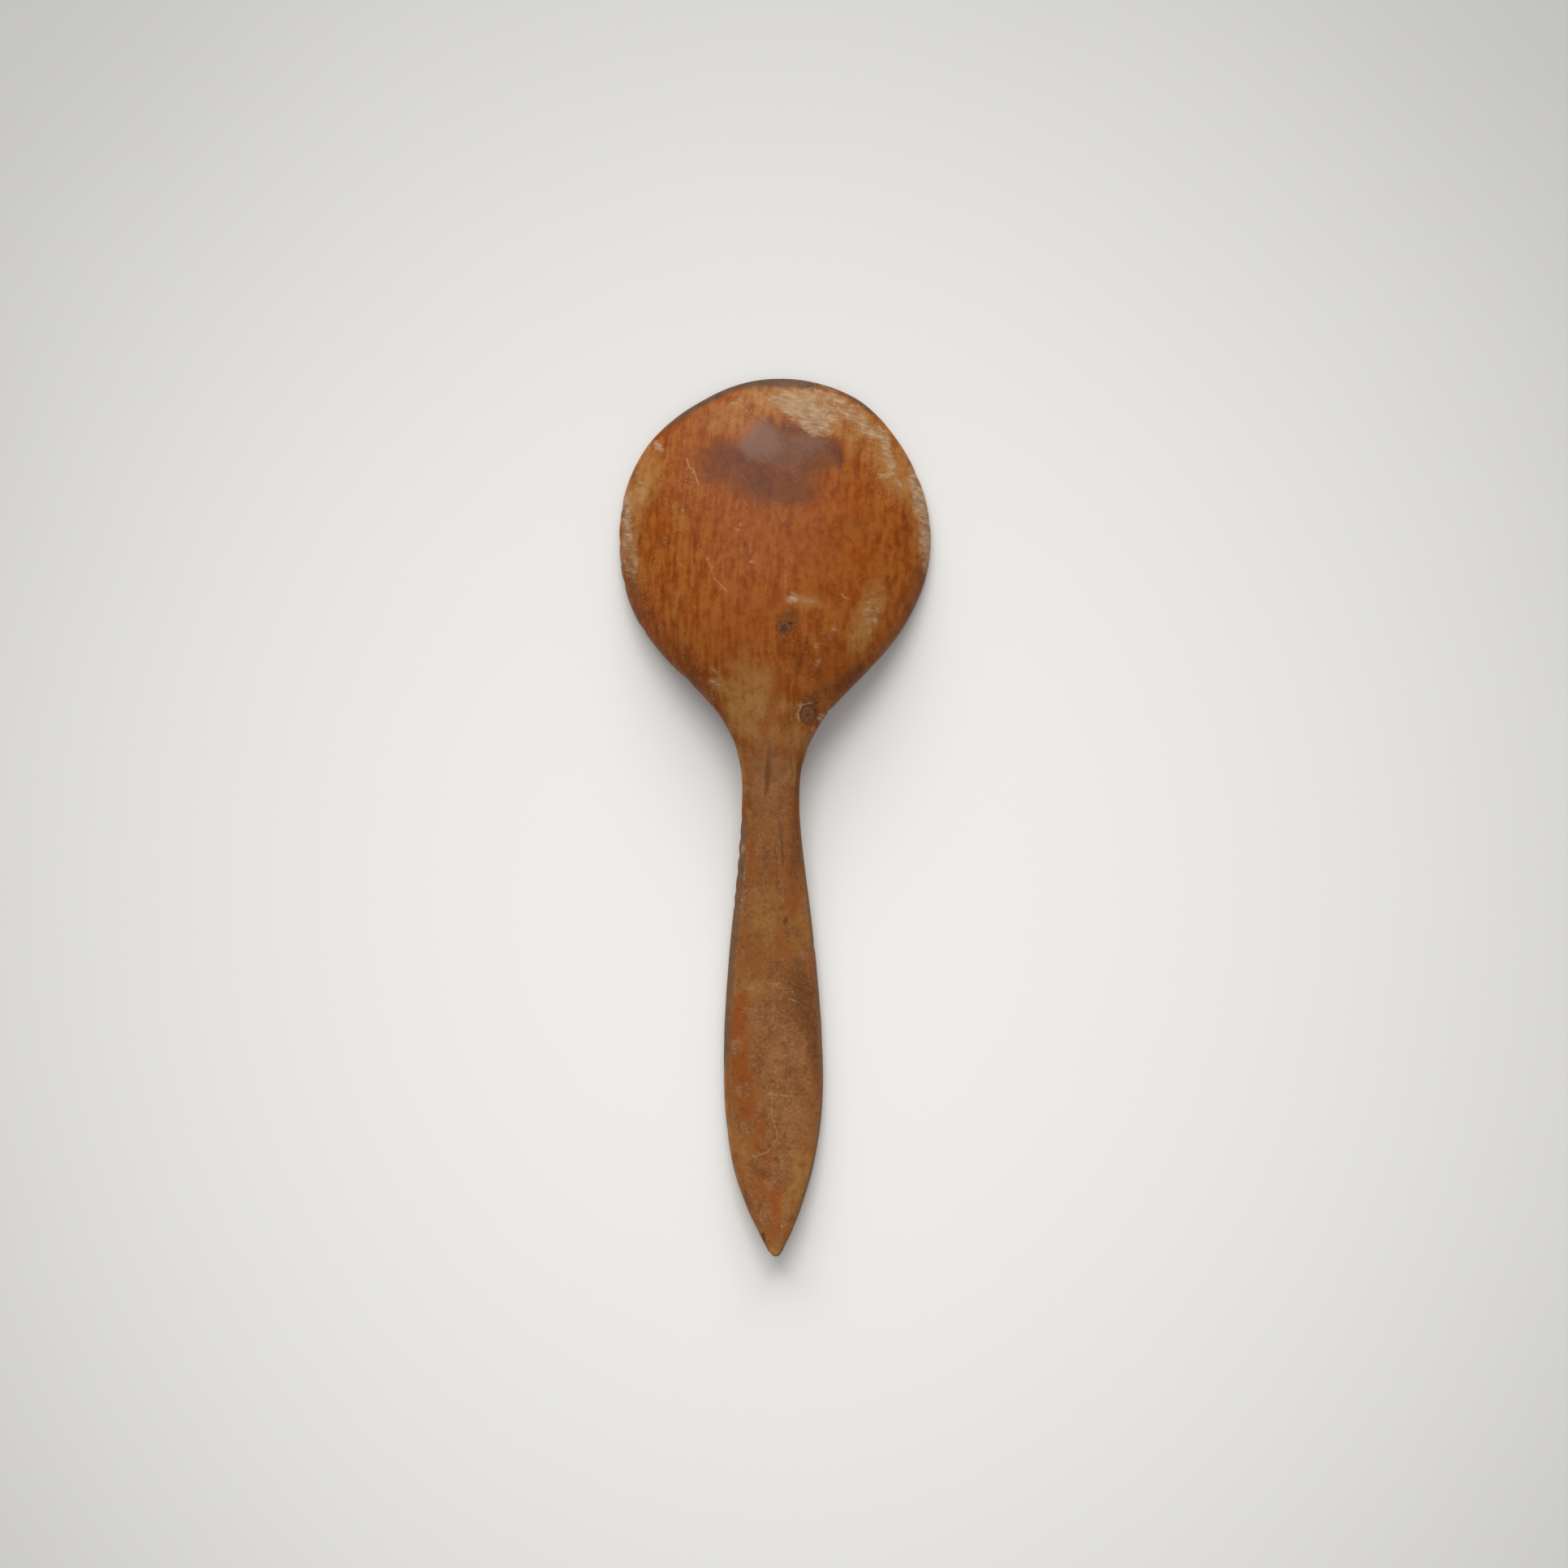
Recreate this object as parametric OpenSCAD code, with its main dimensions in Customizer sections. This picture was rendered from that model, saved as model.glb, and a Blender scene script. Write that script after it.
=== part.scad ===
// Carved wooden scoop: a round, shallow bowl, a waisted neck and a leaf-shaped handle with a raised point.
// It lies back up: the rim's front half and the underside of the handle are on z = 0, the hollow opens down.
// y runs from the point of the handle (-) to the lip of the bowl (+), and x across it.

/* [Length and widths] */
// Overall length, point to lip
scoop_l = 300; // [280:1:320]
// Widest part of the bowl
bowl_w = 106.6; // [100:0.2:114]
// Narrowest part of the neck
neck_w = 19.7; // [18:0.1:22]
// Widest part of the handle
grip_w = 34; // [30:0.5:38]

/* [Heights] */
// Highest point of the bowl's back, at the heel near the neck
heel_h = 26.8; // [24:0.2:30]
// Lift of the neck's underside above the table
neck_lift = 10.6; // [8:0.2:12]
// Thickness of the handle at its widest part
grip_t = 9.5; // [8:0.1:11]
// Lift of the handle's point above the table
tip_lift = 6.5; // [4:0.5:8]

/* [Bowl wall] */
// Height of the rim's outer face at the lip
lip_t = 2.6; // [2:0.1:3.4]
// Thickness of the wall across the middle of the bowl
wall_t = 6.4; // [5:0.1:8]
// Width of the flat that the rim stands on
rim_w = 2.8; // [2:0.1:4]

/* [Knots] */
// Diameter of the dead knot at the neck, at the surface
neck_knot_d = 5.4; // [4:0.2:7]
// Diameter of the pin knot in the bowl, at the surface
bowl_knot_d = 4.6; // [3:0.2:6]

/* [Detail] */
// Points across the back, and the same number across the underside
across_n = 21; // [15:2:25]
// Sections along the handle, neck and heel
along_n = 46; // [30:1:56]

/* [Hidden] */

bowl_r = bowl_w / 2;
neck_r = neck_w / 2;
grip_r = grip_w / 2;

// Share of the length at which the bowl is widest; the lip is a half ellipse in front of it
widest = 0.817;
// Half width of the small flats that end the outline at the point and at the lip
point_r = 1.6;
lip_flat_r = 2.3;

function lip_arc(f) = bowl_r * sqrt(1 - pow((f - widest) / (1 - widest), 2));

// Outline: share of the length, half width, sideways drift of the middle (the carving is a little uneven)
OUTLINE = [
    [0.00, point_r, 0.3],
    [0.01, 0.175 * grip_r, 0.1],
    [0.03, 0.35 * grip_r, 0],
    [0.06, 0.575 * grip_r, -0.4],
    [0.10, 0.8 * grip_r, -0.6],
    [0.15, 0.945 * grip_r, -0.5],
    [0.20, grip_r, -0.5],
    [0.25, 0.985 * grip_r, -0.7],
    [0.32, 0.905 * grip_r, -0.9],
    [0.40, 0.765 * grip_r, -1.1],
    [0.46, 1.12 * neck_r, -1.4],
    [0.50, 1.02 * neck_r, -1.5],
    [0.53, neck_r, -1.4],
    [0.56, 1.09 * neck_r, -1.2],
    [0.59, 1.4 * neck_r, -0.9],
    [0.62, 0.362 * bowl_r, -0.7],
    [0.65, 0.52 * bowl_r, -0.6],
    [0.68, 0.687 * bowl_r, -0.8],
    [0.72, 0.855 * bowl_r, -0.8],
    [0.77, 0.97 * bowl_r, -0.3],
    [widest, bowl_r, 0],
    [0.89, lip_arc(0.89), -0.35],
    [0.93, lip_arc(0.93), -0.1],
    [0.96, lip_arc(0.96), 1.1],
    [0.98, lip_arc(0.98), 2.1],
    [1.00, lip_flat_r, 1.6],
];
// The squared half width is what runs smoothly through a round end
OUTLINE_SQ = [for (r = OUTLINE) [r[0], r[1] * r[1], r[2]]];

// A wall thickness more than the height of any section, where the wood is solid
solid = 30;

// Heights: share of the length, underside, lower arris, upper arris, back, wall thickness
HEIGHTS = [
    [0.00, tip_lift, tip_lift + 1.8, tip_lift + 4, tip_lift + 6, solid],
    [0.03, 0.65 * tip_lift, 0.65 * tip_lift + 2, 0.65 * tip_lift + 4.8, 0.3 * tip_lift + grip_t + 0.6, solid],
    [0.08, 0.2 * tip_lift, 0.2 * tip_lift + 2.2, 0.2 * tip_lift + 5, 0.15 * tip_lift + grip_t + 0.1, solid],
    [0.15, 0, 2.2, 4.6, grip_t + 0.1, solid],
    [0.22, 0, 2, 4.3, grip_t - 0.1, solid],
    [0.30, 0, 2.2, 4.5, grip_t, solid],
    [0.37, 0.06 * neck_lift, 2.9, 5.3, grip_t + 0.6, solid],
    [0.43, 0.2 * neck_lift, 4.5, 7.1, grip_t + 2.1, solid],
    [0.50, 0.48 * neck_lift, 0.78 * neck_lift, 1.02 * neck_lift, 1.4 * neck_lift, solid],
    [0.55, 0.8 * neck_lift, 1.12 * neck_lift, 1.36 * neck_lift, 1.72 * neck_lift, solid],
    [0.60, neck_lift, 1.22 * neck_lift, 1.54 * neck_lift, 0.83 * heel_h, solid],
    [0.65, 0.94 * neck_lift, neck_lift, 1.38 * neck_lift, 0.945 * heel_h, 2.2 * wall_t],
    [0.70, 0.56 * neck_lift, 0.56 * neck_lift, 0.96 * neck_lift, heel_h, 1.4 * wall_t],
    [0.76, 0.14 * neck_lift, 0.14 * neck_lift, 0.48 * neck_lift, 0.935 * heel_h, 1.1 * wall_t],
    [widest, 0, 0, 1.2 * lip_t, 0.81 * heel_h, wall_t],
    [0.88, 0, 0, 1.08 * lip_t, 0.63 * heel_h, 0.9 * wall_t],
    [0.94, 0, 0, lip_t, 0.43 * heel_h, 0.75 * wall_t],
    [0.98, 0, 0, lip_t, 0.26 * heel_h, 0.62 * wall_t],
    [1.00, 0, 0, lip_t, 1.1 * lip_t, 0.62 * wall_t],
];

// Roundness of a section: share of the length, power of the width, power of the height
ROUNDING = [
    [0.00, 2.4, 2],
    [0.20, 3, 2],
    [0.40, 2.7, 2],
    [0.53, 2.3, 2],
    [0.62, 2, 1.7],
    [0.74, 2, 1.4],
    [1.00, 2, 1.35],
];

// Where each knot comes out of the back (share of the length, share of the half width), how far it goes
// down into the wood, and how many degrees it leans to the right
neck_knot_y = 0.6163;
neck_knot_x = 0.645;
neck_knot_depth = 9;
neck_knot_lean = 24;
bowl_knot_y = 0.7127;
bowl_knot_x = 0.085;
bowl_knot_depth = 12;
bowl_knot_lean = 0;
// A knot's diameter at its inner end as a share of that at the surface, and how far its cutter stands proud
knot_taper = 0.7;
knot_proud = 3;
knot_sides = 96;

// Rounding where the hollow runs out into the neck
heel_blend = 1.2;
// Distance over which the hollow rises from the flat of the rim
rim_slope = 5;
// Share of the length at which the close sections of the point end
point_end = 0.03;
point_n = 6;
lip_n = 16;
// Places along the length at which a section is drawn, close together where the outline turns
PLACES = concat(
    [for (i = [0:point_n - 1]) point_end * pow(i / point_n, 2)],
    [for (i = [0:along_n - 1]) point_end + (widest - point_end) * i / along_n],
    [for (i = [0:lip_n - 1]) widest + (1 - widest) * sin(90 * i / lip_n)],
    [1]
);
// Places across the width, close together at the edges
SPREAD = [for (i = [0:across_n - 1]) sin(180 * i / (across_n - 1) - 90)];

// Smooth curve through column c of table t: a tangent comes from both neighbours and never overshoots
function secant(t, c, i) = (t[i + 1][c] - t[i][c]) / (t[i + 1][0] - t[i][0]);
function gap(t, i) = t[i + 1][0] - t[i][0];
function limited(p, a, b) = a * b <= 0 ? 0 : sign(p) * min(abs(p), 3 * abs(a), 3 * abs(b));
function inner_slope(t, c, i) =
    let (a = secant(t, c, i - 1), b = secant(t, c, i), ha = gap(t, i - 1), hb = gap(t, i))
    limited((a * hb + b * ha) / (ha + hb), a, b);
function slope(t, c, i) =
    i == 0 ? 2 * secant(t, c, 0) - inner_slope(t, c, 1)
    : i == len(t) - 1 ? 2 * secant(t, c, i - 1) - inner_slope(t, c, i - 1)
    : inner_slope(t, c, i);
function row_of(t, f, i = 0) = (i >= len(t) - 2 || f < t[i + 1][0]) ? i : row_of(t, f, i + 1);
function curve(t, c, f) =
    let (i = row_of(t, f), h = gap(t, i), s = (f - t[i][0]) / h, r = 1 - s)
    t[i][c] * r * r * (1 + 2 * s) + t[i + 1][c] * s * s * (1 + 2 * r)
    + slope(t, c, i) * h * s * r * r - slope(t, c, i + 1) * h * s * s * r;

// The larger of two heights, with a rounded change from one to the other
function soft_max(a, b, k) = max(a, b) + pow(max(k - abs(a - b), 0), 2) / (4 * k);

function y_at(f) = (f - 0.5) * scoop_l;
function half_width(f) = sqrt(curve(OUTLINE_SQ, 1, f));
function middle(f) = curve(OUTLINE_SQ, 2, f);
// How full a section is at u, from 0 at its edges to 1 in the middle
function fullness(f, u) = pow(max(1 - pow(abs(u), curve(ROUNDING, 1, f)), 0), 1 / curve(ROUNDING, 2, f));

// How far a point is inside the outline, and a smooth step from 0 to 1
function inset(f, u) =
    f > widest ? bowl_r - norm([half_width(f) * u, y_at(f) - y_at(widest)]) : (1 - abs(u)) * half_width(f);
function ease(s) = let (t = min(max(s, 0), 1)) t * t * (3 - 2 * t);

function back_z(f, u) =
    let (edge = curve(HEIGHTS, 3, f))
    edge + (curve(HEIGHTS, 4, f) - edge) * fullness(f, u);
function under_z(f, u) =
    let (
        edge = curve(HEIGHTS, 2, f),
        flat = edge + (curve(HEIGHTS, 1, f) - edge) * fullness(f, u),
        carved = soft_max(flat, back_z(f, u) - curve(HEIGHTS, 5, f), heel_blend)
    )
    flat + (carved - flat) * ease((inset(f, u) - rim_w) / rim_slope);

// One section: across the back from left to right, then across the underside from right to left
function section(f) =
    let (w = half_width(f), m = middle(f), y = y_at(f))
    concat(
        [for (u = SPREAD) [m + w * u, y, back_z(f, u)]],
        [for (u = SPREAD) [m - w * u, y, under_z(f, -u)]]
    );

// The whole carving with no knots cut: sections joined along the length, and closed at both ends
module billet() {
    loop = 2 * across_n;
    last = (len(PLACES) - 1) * loop;
    points = [for (f = PLACES) each section(f)];
    sides = [
        for (j = [0:len(PLACES) - 2], i = [0:loop - 1])
            let (a = j * loop + i, b = j * loop + (i + 1) % loop)
            each [[a, b, b + loop], [a, b + loop, a + loop]]
    ];
    ends = [
        for (i = [0:across_n - 2])
            let (a = i, b = i + 1, c = loop - 2 - i, d = loop - 1 - i)
            each [[a, c, b], [a, d, c], [last + a, last + b, last + c], [last + a, last + c, last + d]]
    ];
    polyhedron(points, concat(sides, ends), convexity = 6);
}

// A knot is the stub of a branch: widest at the back's surface, thinner where it ends in the wood
module knot(place, side, d, depth, lean) {
    inner_r = d / 2 * knot_taper;
    slope_r = (d / 2 - inner_r) / depth;
    x = middle(place) + side * half_width(place);
    translate([x, y_at(place), back_z(place, side)])
        rotate([0, lean, 0])
            translate([0, 0, -depth])
                cylinder(depth + knot_proud, inner_r, d / 2 + slope_r * knot_proud, $fn = knot_sides);
}

module neck_knot_cut() {
    knot(neck_knot_y, neck_knot_x, neck_knot_d, neck_knot_depth, neck_knot_lean);
}

module bowl_knot_cut() {
    knot(bowl_knot_y, bowl_knot_x, bowl_knot_d, bowl_knot_depth, bowl_knot_lean);
}

module scoop() {
    color([0.54, 0.34, 0.2])
        difference() {
            billet();
            neck_knot_cut();
            bowl_knot_cut();
        }
}

module neck_knot() {
    color([0.3, 0.17, 0.1])
        intersection() {
            billet();
            neck_knot_cut();
        }
}

module bowl_knot() {
    color([0.26, 0.16, 0.1])
        intersection() {
            billet();
            bowl_knot_cut();
        }
}

scoop();
neck_knot();
bowl_knot();
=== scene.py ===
"""A worn, hand-carved wooden scoop, lying back up on a pale table under soft window light."""

import math

import bmesh
import bpy
import numpy as np
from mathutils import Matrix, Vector


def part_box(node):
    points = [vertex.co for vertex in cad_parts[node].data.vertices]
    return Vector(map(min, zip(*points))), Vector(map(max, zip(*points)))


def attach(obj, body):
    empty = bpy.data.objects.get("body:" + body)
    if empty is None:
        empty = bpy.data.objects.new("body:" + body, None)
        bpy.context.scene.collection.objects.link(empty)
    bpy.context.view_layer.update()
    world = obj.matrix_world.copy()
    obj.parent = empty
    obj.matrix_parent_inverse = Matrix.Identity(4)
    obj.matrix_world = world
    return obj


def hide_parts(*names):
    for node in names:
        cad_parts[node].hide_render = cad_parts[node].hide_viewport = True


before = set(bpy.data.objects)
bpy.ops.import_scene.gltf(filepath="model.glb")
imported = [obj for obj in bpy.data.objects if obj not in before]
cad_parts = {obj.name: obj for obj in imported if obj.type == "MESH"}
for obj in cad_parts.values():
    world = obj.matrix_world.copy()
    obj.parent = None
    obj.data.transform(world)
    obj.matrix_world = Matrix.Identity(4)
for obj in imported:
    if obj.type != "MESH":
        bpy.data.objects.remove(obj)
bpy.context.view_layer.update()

MM = 0.001
LOW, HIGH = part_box("scoop")
LENGTH = HIGH.y - LOW.y
BOWL_R = (HIGH.x - LOW.x) / 2
HEEL_H = HIGH.z

# The other measures of the carving keep the proportions that they have in the CAD part.
NECK_R = 9.85 / 53.3 * BOWL_R
GRIP_R = 17 / 53.3 * BOWL_R
NECK_LIFT = 10.6 / 26.8 * HEEL_H
GRIP_T = 9.5 / 26.8 * HEEL_H
TIP_LIFT = 6.5 / 26.8 * HEEL_H
LIP_T = 2.6 / 26.8 * HEEL_H
WALL_T = 6.4 / 26.8 * HEEL_H
RIM_W = 2.8 * MM
RIM_SLOPE = 5 * MM
HEEL_BLEND = 1.2 * MM
WIDEST = 0.817
SOLID = 30 * MM


# ---------------------------------------------------------------- the carving's form

def lip_arc(f):
    """Half width of the half ellipse in front of the widest place."""
    return BOWL_R * math.sqrt(1 - ((f - WIDEST) / (1 - WIDEST)) ** 2)


# Share of the length, half width, drift of the middle
OUTLINE = [
    (0.00, 1.6 * MM, 0.3 * MM),
    (0.01, 0.175 * GRIP_R, 0.1 * MM),
    (0.03, 0.35 * GRIP_R, 0),
    (0.06, 0.575 * GRIP_R, -0.4 * MM),
    (0.10, 0.8 * GRIP_R, -0.6 * MM),
    (0.15, 0.945 * GRIP_R, -0.5 * MM),
    (0.20, GRIP_R, -0.5 * MM),
    (0.25, 0.985 * GRIP_R, -0.7 * MM),
    (0.32, 0.905 * GRIP_R, -0.9 * MM),
    (0.40, 0.765 * GRIP_R, -1.1 * MM),
    (0.46, 1.12 * NECK_R, -1.4 * MM),
    (0.50, 1.02 * NECK_R, -1.5 * MM),
    (0.53, NECK_R, -1.4 * MM),
    (0.56, 1.09 * NECK_R, -1.2 * MM),
    (0.59, 1.4 * NECK_R, -0.9 * MM),
    (0.62, 0.362 * BOWL_R, -0.7 * MM),
    (0.65, 0.52 * BOWL_R, -0.6 * MM),
    (0.68, 0.687 * BOWL_R, -0.8 * MM),
    (0.72, 0.855 * BOWL_R, -0.8 * MM),
    (0.77, 0.97 * BOWL_R, -0.3 * MM),
    (WIDEST, BOWL_R, 0),
    (0.89, lip_arc(0.89), -0.35 * MM),
    (0.93, lip_arc(0.93), -0.1 * MM),
    (0.96, lip_arc(0.96), 1.1 * MM),
    (0.98, lip_arc(0.98), 2.1 * MM),
    (1.00, 2.3 * MM, 1.6 * MM),
]

# Share of the length, underside, lower arris, upper arris, back, wall thickness
HEIGHTS = [
    (0.00, TIP_LIFT, TIP_LIFT + 1.8 * MM, TIP_LIFT + 4 * MM, TIP_LIFT + 6 * MM, SOLID),
    (0.03, 0.65 * TIP_LIFT, 0.65 * TIP_LIFT + 2 * MM, 0.65 * TIP_LIFT + 4.8 * MM,
     0.3 * TIP_LIFT + GRIP_T + 0.6 * MM, SOLID),
    (0.08, 0.2 * TIP_LIFT, 0.2 * TIP_LIFT + 2.2 * MM, 0.2 * TIP_LIFT + 5 * MM,
     0.15 * TIP_LIFT + GRIP_T + 0.1 * MM, SOLID),
    (0.15, 0, 2.2 * MM, 4.6 * MM, GRIP_T + 0.1 * MM, SOLID),
    (0.22, 0, 2 * MM, 4.3 * MM, GRIP_T - 0.1 * MM, SOLID),
    (0.30, 0, 2.2 * MM, 4.5 * MM, GRIP_T, SOLID),
    (0.37, 0.06 * NECK_LIFT, 2.9 * MM, 5.3 * MM, GRIP_T + 0.6 * MM, SOLID),
    (0.43, 0.2 * NECK_LIFT, 4.5 * MM, 7.1 * MM, GRIP_T + 2.1 * MM, SOLID),
    (0.50, 0.48 * NECK_LIFT, 0.78 * NECK_LIFT, 1.02 * NECK_LIFT, 1.4 * NECK_LIFT, SOLID),
    (0.55, 0.8 * NECK_LIFT, 1.12 * NECK_LIFT, 1.36 * NECK_LIFT, 1.72 * NECK_LIFT, SOLID),
    (0.60, NECK_LIFT, 1.22 * NECK_LIFT, 1.54 * NECK_LIFT, 0.83 * HEEL_H, SOLID),
    (0.65, 0.94 * NECK_LIFT, NECK_LIFT, 1.38 * NECK_LIFT, 0.945 * HEEL_H, 2.2 * WALL_T),
    (0.70, 0.56 * NECK_LIFT, 0.56 * NECK_LIFT, 0.96 * NECK_LIFT, HEEL_H, 1.4 * WALL_T),
    (0.76, 0.14 * NECK_LIFT, 0.14 * NECK_LIFT, 0.48 * NECK_LIFT, 0.935 * HEEL_H, 1.1 * WALL_T),
    (WIDEST, 0, 0, 1.2 * LIP_T, 0.81 * HEEL_H, WALL_T),
    (0.88, 0, 0, 1.08 * LIP_T, 0.63 * HEEL_H, 0.9 * WALL_T),
    (0.94, 0, 0, LIP_T, 0.43 * HEEL_H, 0.75 * WALL_T),
    (0.98, 0, 0, LIP_T, 0.26 * HEEL_H, 0.62 * WALL_T),
    (1.00, 0, 0, LIP_T, 1.1 * LIP_T, 0.62 * WALL_T),
]

# Share of the length, power of the width, power of the height: how square a section is
ROUNDING = [
    (0.00, 2.4, 2),
    (0.20, 3, 2),
    (0.40, 2.7, 2),
    (0.53, 2.3, 2),
    (0.62, 2, 1.7),
    (0.74, 2, 1.4),
    (1.00, 2, 1.35),
]


def smooth_curve(places, values):
    """A function through the points, whose tangents come from both neighbours and never overshoot."""
    x, y = np.array(places, float), np.array(values, float)
    gap = np.diff(x)
    secant = np.diff(y) / gap
    slope = np.zeros_like(y)
    for i in range(1, len(x) - 1):
        a, b = secant[i - 1], secant[i]
        if a * b > 0:
            both = (a * gap[i] + b * gap[i - 1]) / (gap[i - 1] + gap[i])
            slope[i] = math.copysign(min(abs(both), 3 * abs(a), 3 * abs(b)), both)
    slope[0] = 2 * secant[0] - slope[1]
    slope[-1] = 2 * secant[-1] - slope[-2]

    def at(f):
        i = np.clip(np.searchsorted(x, f, side="right") - 1, 0, len(x) - 2)
        h = x[i + 1] - x[i]
        s = (f - x[i]) / h
        r = 1 - s
        ends = y[i] * r * r * (1 + 2 * s) + y[i + 1] * s * s * (1 + 2 * r)
        return ends + slope[i] * h * s * r * r - slope[i + 1] * h * s * s * r

    return at


def column(table, c):
    return smooth_curve([row[0] for row in table], [row[c] for row in table])


half_squared = smooth_curve([r[0] for r in OUTLINE], [r[1] ** 2 for r in OUTLINE])
middle = column(OUTLINE, 2)
under_at, low_arris_at, high_arris_at, back_at, wall_at = (column(HEIGHTS, c) for c in range(1, 6))
width_power, height_power = (column(ROUNDING, c) for c in (1, 2))


def half_width(f):
    return np.sqrt(half_squared(f))


def ease(s):
    t = np.clip(s, 0, 1)
    return t * t * (3 - 2 * t)


def blend_rise(a, b, reach):
    """What rounds off the crease where two heights meet."""
    return np.maximum(reach - np.abs(a - b), 0) ** 2 / (4 * reach)


def place_of(x, y):
    """Share of the length, and share of the half width, of a point in plan."""
    f = np.clip((y - LOW.y) / LENGTH, 0, 1)
    return f, np.clip((x - middle(f)) / half_width(f), -1, 1)


def fullness(f, u):
    return (1 - np.abs(u) ** width_power(f)) ** (1 / height_power(f))


def back_z(x, y):
    f, u = place_of(x, y)
    edge = high_arris_at(f)
    return edge + (back_at(f) - edge) * fullness(f, u)


def under_z(x, y, inset):
    f, u = place_of(x, y)
    edge = low_arris_at(f)
    flat = edge + (under_at(f) - edge) * fullness(f, u)
    carved = back_z(x, y) - wall_at(f)
    soft = np.maximum(flat, carved) + blend_rise(flat, carved, HEEL_BLEND)
    return flat + (soft - flat) * ease((inset - RIM_W) / RIM_SLOPE)


# ---------------------------------------------------------------- small irregularities

NOISE_CELLS = 64
NOISE_START = (31.7, 17.3)


def value_noise(x, y, size_x, size_y, seed):
    """Smooth noise from -1 to 1 with cells of the given size."""
    grid = np.random.RandomState(seed).uniform(-1, 1, (NOISE_CELLS, NOISE_CELLS))
    gx, gy = x / size_x + NOISE_START[0], y / size_y + NOISE_START[1]
    ix, iy = np.floor(gx).astype(int), np.floor(gy).astype(int)
    sx, sy = ease(gx - ix), ease(gy - iy)

    def corner(dx, dy):
        return grid[(ix + dx) % NOISE_CELLS, (iy + dy) % NOISE_CELLS]

    lower = corner(0, 0) * (1 - sx) + corner(1, 0) * sx
    upper = corner(0, 1) * (1 - sx) + corner(1, 1) * sx
    return lower * (1 - sy) + upper * sy


def spot(x, y, cx, cy, rx, ry, turn=0.0, soft=0.5):
    """1 inside an ellipse in plan, falling to 0 outside it; sizes are in millimetres, turn in degrees."""
    c, s = math.cos(math.radians(turn)), math.sin(math.radians(turn))
    dx, dy = x / MM - cx, y / MM - cy
    reach = np.hypot((dx * c + dy * s) / rx, (dy * c - dx * s) / ry)
    return 1 - ease((reach - 1 + soft) / (2 * soft))


# Nicks in the outline: side, y, width and depth, in millimetres
NICKS = [
    (-1, 106, 3, 0.35), (-1, 101.5, 2, 0.25), (-1, 94, 3, 0.3), (-1, 87, 2, 0.25), (-1, 80, 3, 0.3),
    (-1, 64, 2.5, 0.25), (-1, 47, 3, 0.25), (-1, -1, 3, 0.2), (-1, -7, 2.5, 0.3), (-1, -13, 2.5, 0.4),
    (-1, -19, 3, 0.3), (-1, -25, 2, 0.25), (-1, -30, 3, 0.25), (1, 36, 1.6, 0.4), (1, 52, 2.5, 0.2),
    (1, 101, 2.5, 0.2), (1, 117, 3, 0.25), (1, -44, 3, 0.2),
]


def outline_wear(side, y):
    """How far the worn outline lies inside the carved one."""
    wobble = 0.06 * MM * (1 + value_noise(y, y * 0 + side, 6 * MM, 1, 11))
    for nick_side, at, wide, deep in NICKS:
        near = side == nick_side
        wobble = wobble + near * deep * MM * np.exp(-(((y / MM - at) / (0.5 * wide)) ** 2))
    return wobble


def back_relief(x, y, inset):
    """Flats left by the knife and scraper, dents and worn places, added to the back's height."""
    bowl = ease((y / MM - 20) / 40)
    marks = value_noise(x, y, 8 * MM, 38 * MM, 3) * (0.09 * bowl + 0.13 * (1 - bowl))
    marks = marks + value_noise(x, y, 3.2 * MM, 14 * MM, 4) * 0.035
    dents = -0.25 * np.maximum(value_noise(x, y, 3.5 * MM, 5 * MM, 5) - 0.55, 0)
    scraped = -0.12 * spot(x, y, 22, 139, 18, 5, -22, 0.6)
    flake = -0.35 * spot(x, y, 16.5, 147, 3.2, 2.2, soft=0.25) * (x / MM > 13.4)
    return MM * ((marks + dents + scraped) * ease(inset / (2 * MM)) + flake)


# Rise of each bevel for every millimetre in from the edge
LEFT_BEVEL = 1.12
RIGHT_BEVEL = 1.8
BEVEL_BLEND = 0.35 * MM


def side_bevels(z, x, y, inset):
    """The handle's edges are cut back to flat bevels: a broad one on the left, a narrow one on the right."""
    f, u = place_of(x, y)
    reach = ease((y / MM + 122) / 14) * ease((-8 - y / MM) / 12)
    steepness = np.where(u < 0, LEFT_BEVEL, RIGHT_BEVEL) + 8 * (1 - reach)
    facet = high_arris_at(f) + steepness * inset
    return np.minimum(z, facet) - blend_rise(z, facet, BEVEL_BLEND)


def hollow_relief(x, y, inset):
    """Shallow gouge cuts that run down the hollow, and the knife's flats under the handle."""
    wander = 0.35 * value_noise(x, y, 20 * MM, 26 * MM, 8)
    cuts = 0.16 * np.abs(np.sin(math.pi * (x / (7.5 * MM) + wander))) - 0.1
    depth = ease((inset - RIM_W) / RIM_SLOPE) * ease((y / MM - 42) / 10)
    flats = 0.1 * value_noise(x, y, 7 * MM, 34 * MM, 9) * (1 - ease((y / MM - 30) / 15))
    return MM * (cuts * depth + flats * ease(inset / (2 * MM)))


# ---------------------------------------------------------------- knots and checks

def knot_place(share, side):
    """Where a knot comes out of the back, from its share of the length and of the half width."""
    return middle(share) + side * half_width(share), LOW.y + share * LENGTH


# Each knot: centre in plan, half its width and half its length there
NECK_KNOT = (*knot_place(0.6163, 0.645), 2.45 * MM, 3.0 * MM)
BOWL_KNOT = (*knot_place(0.7127, 0.085), 2.2 * MM, 2.2 * MM)
KNOTS = (NECK_KNOT, BOWL_KNOT)
PIT_DEPTH = 1.1 * MM
PIT_WALL = 0.2 * MM

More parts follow.
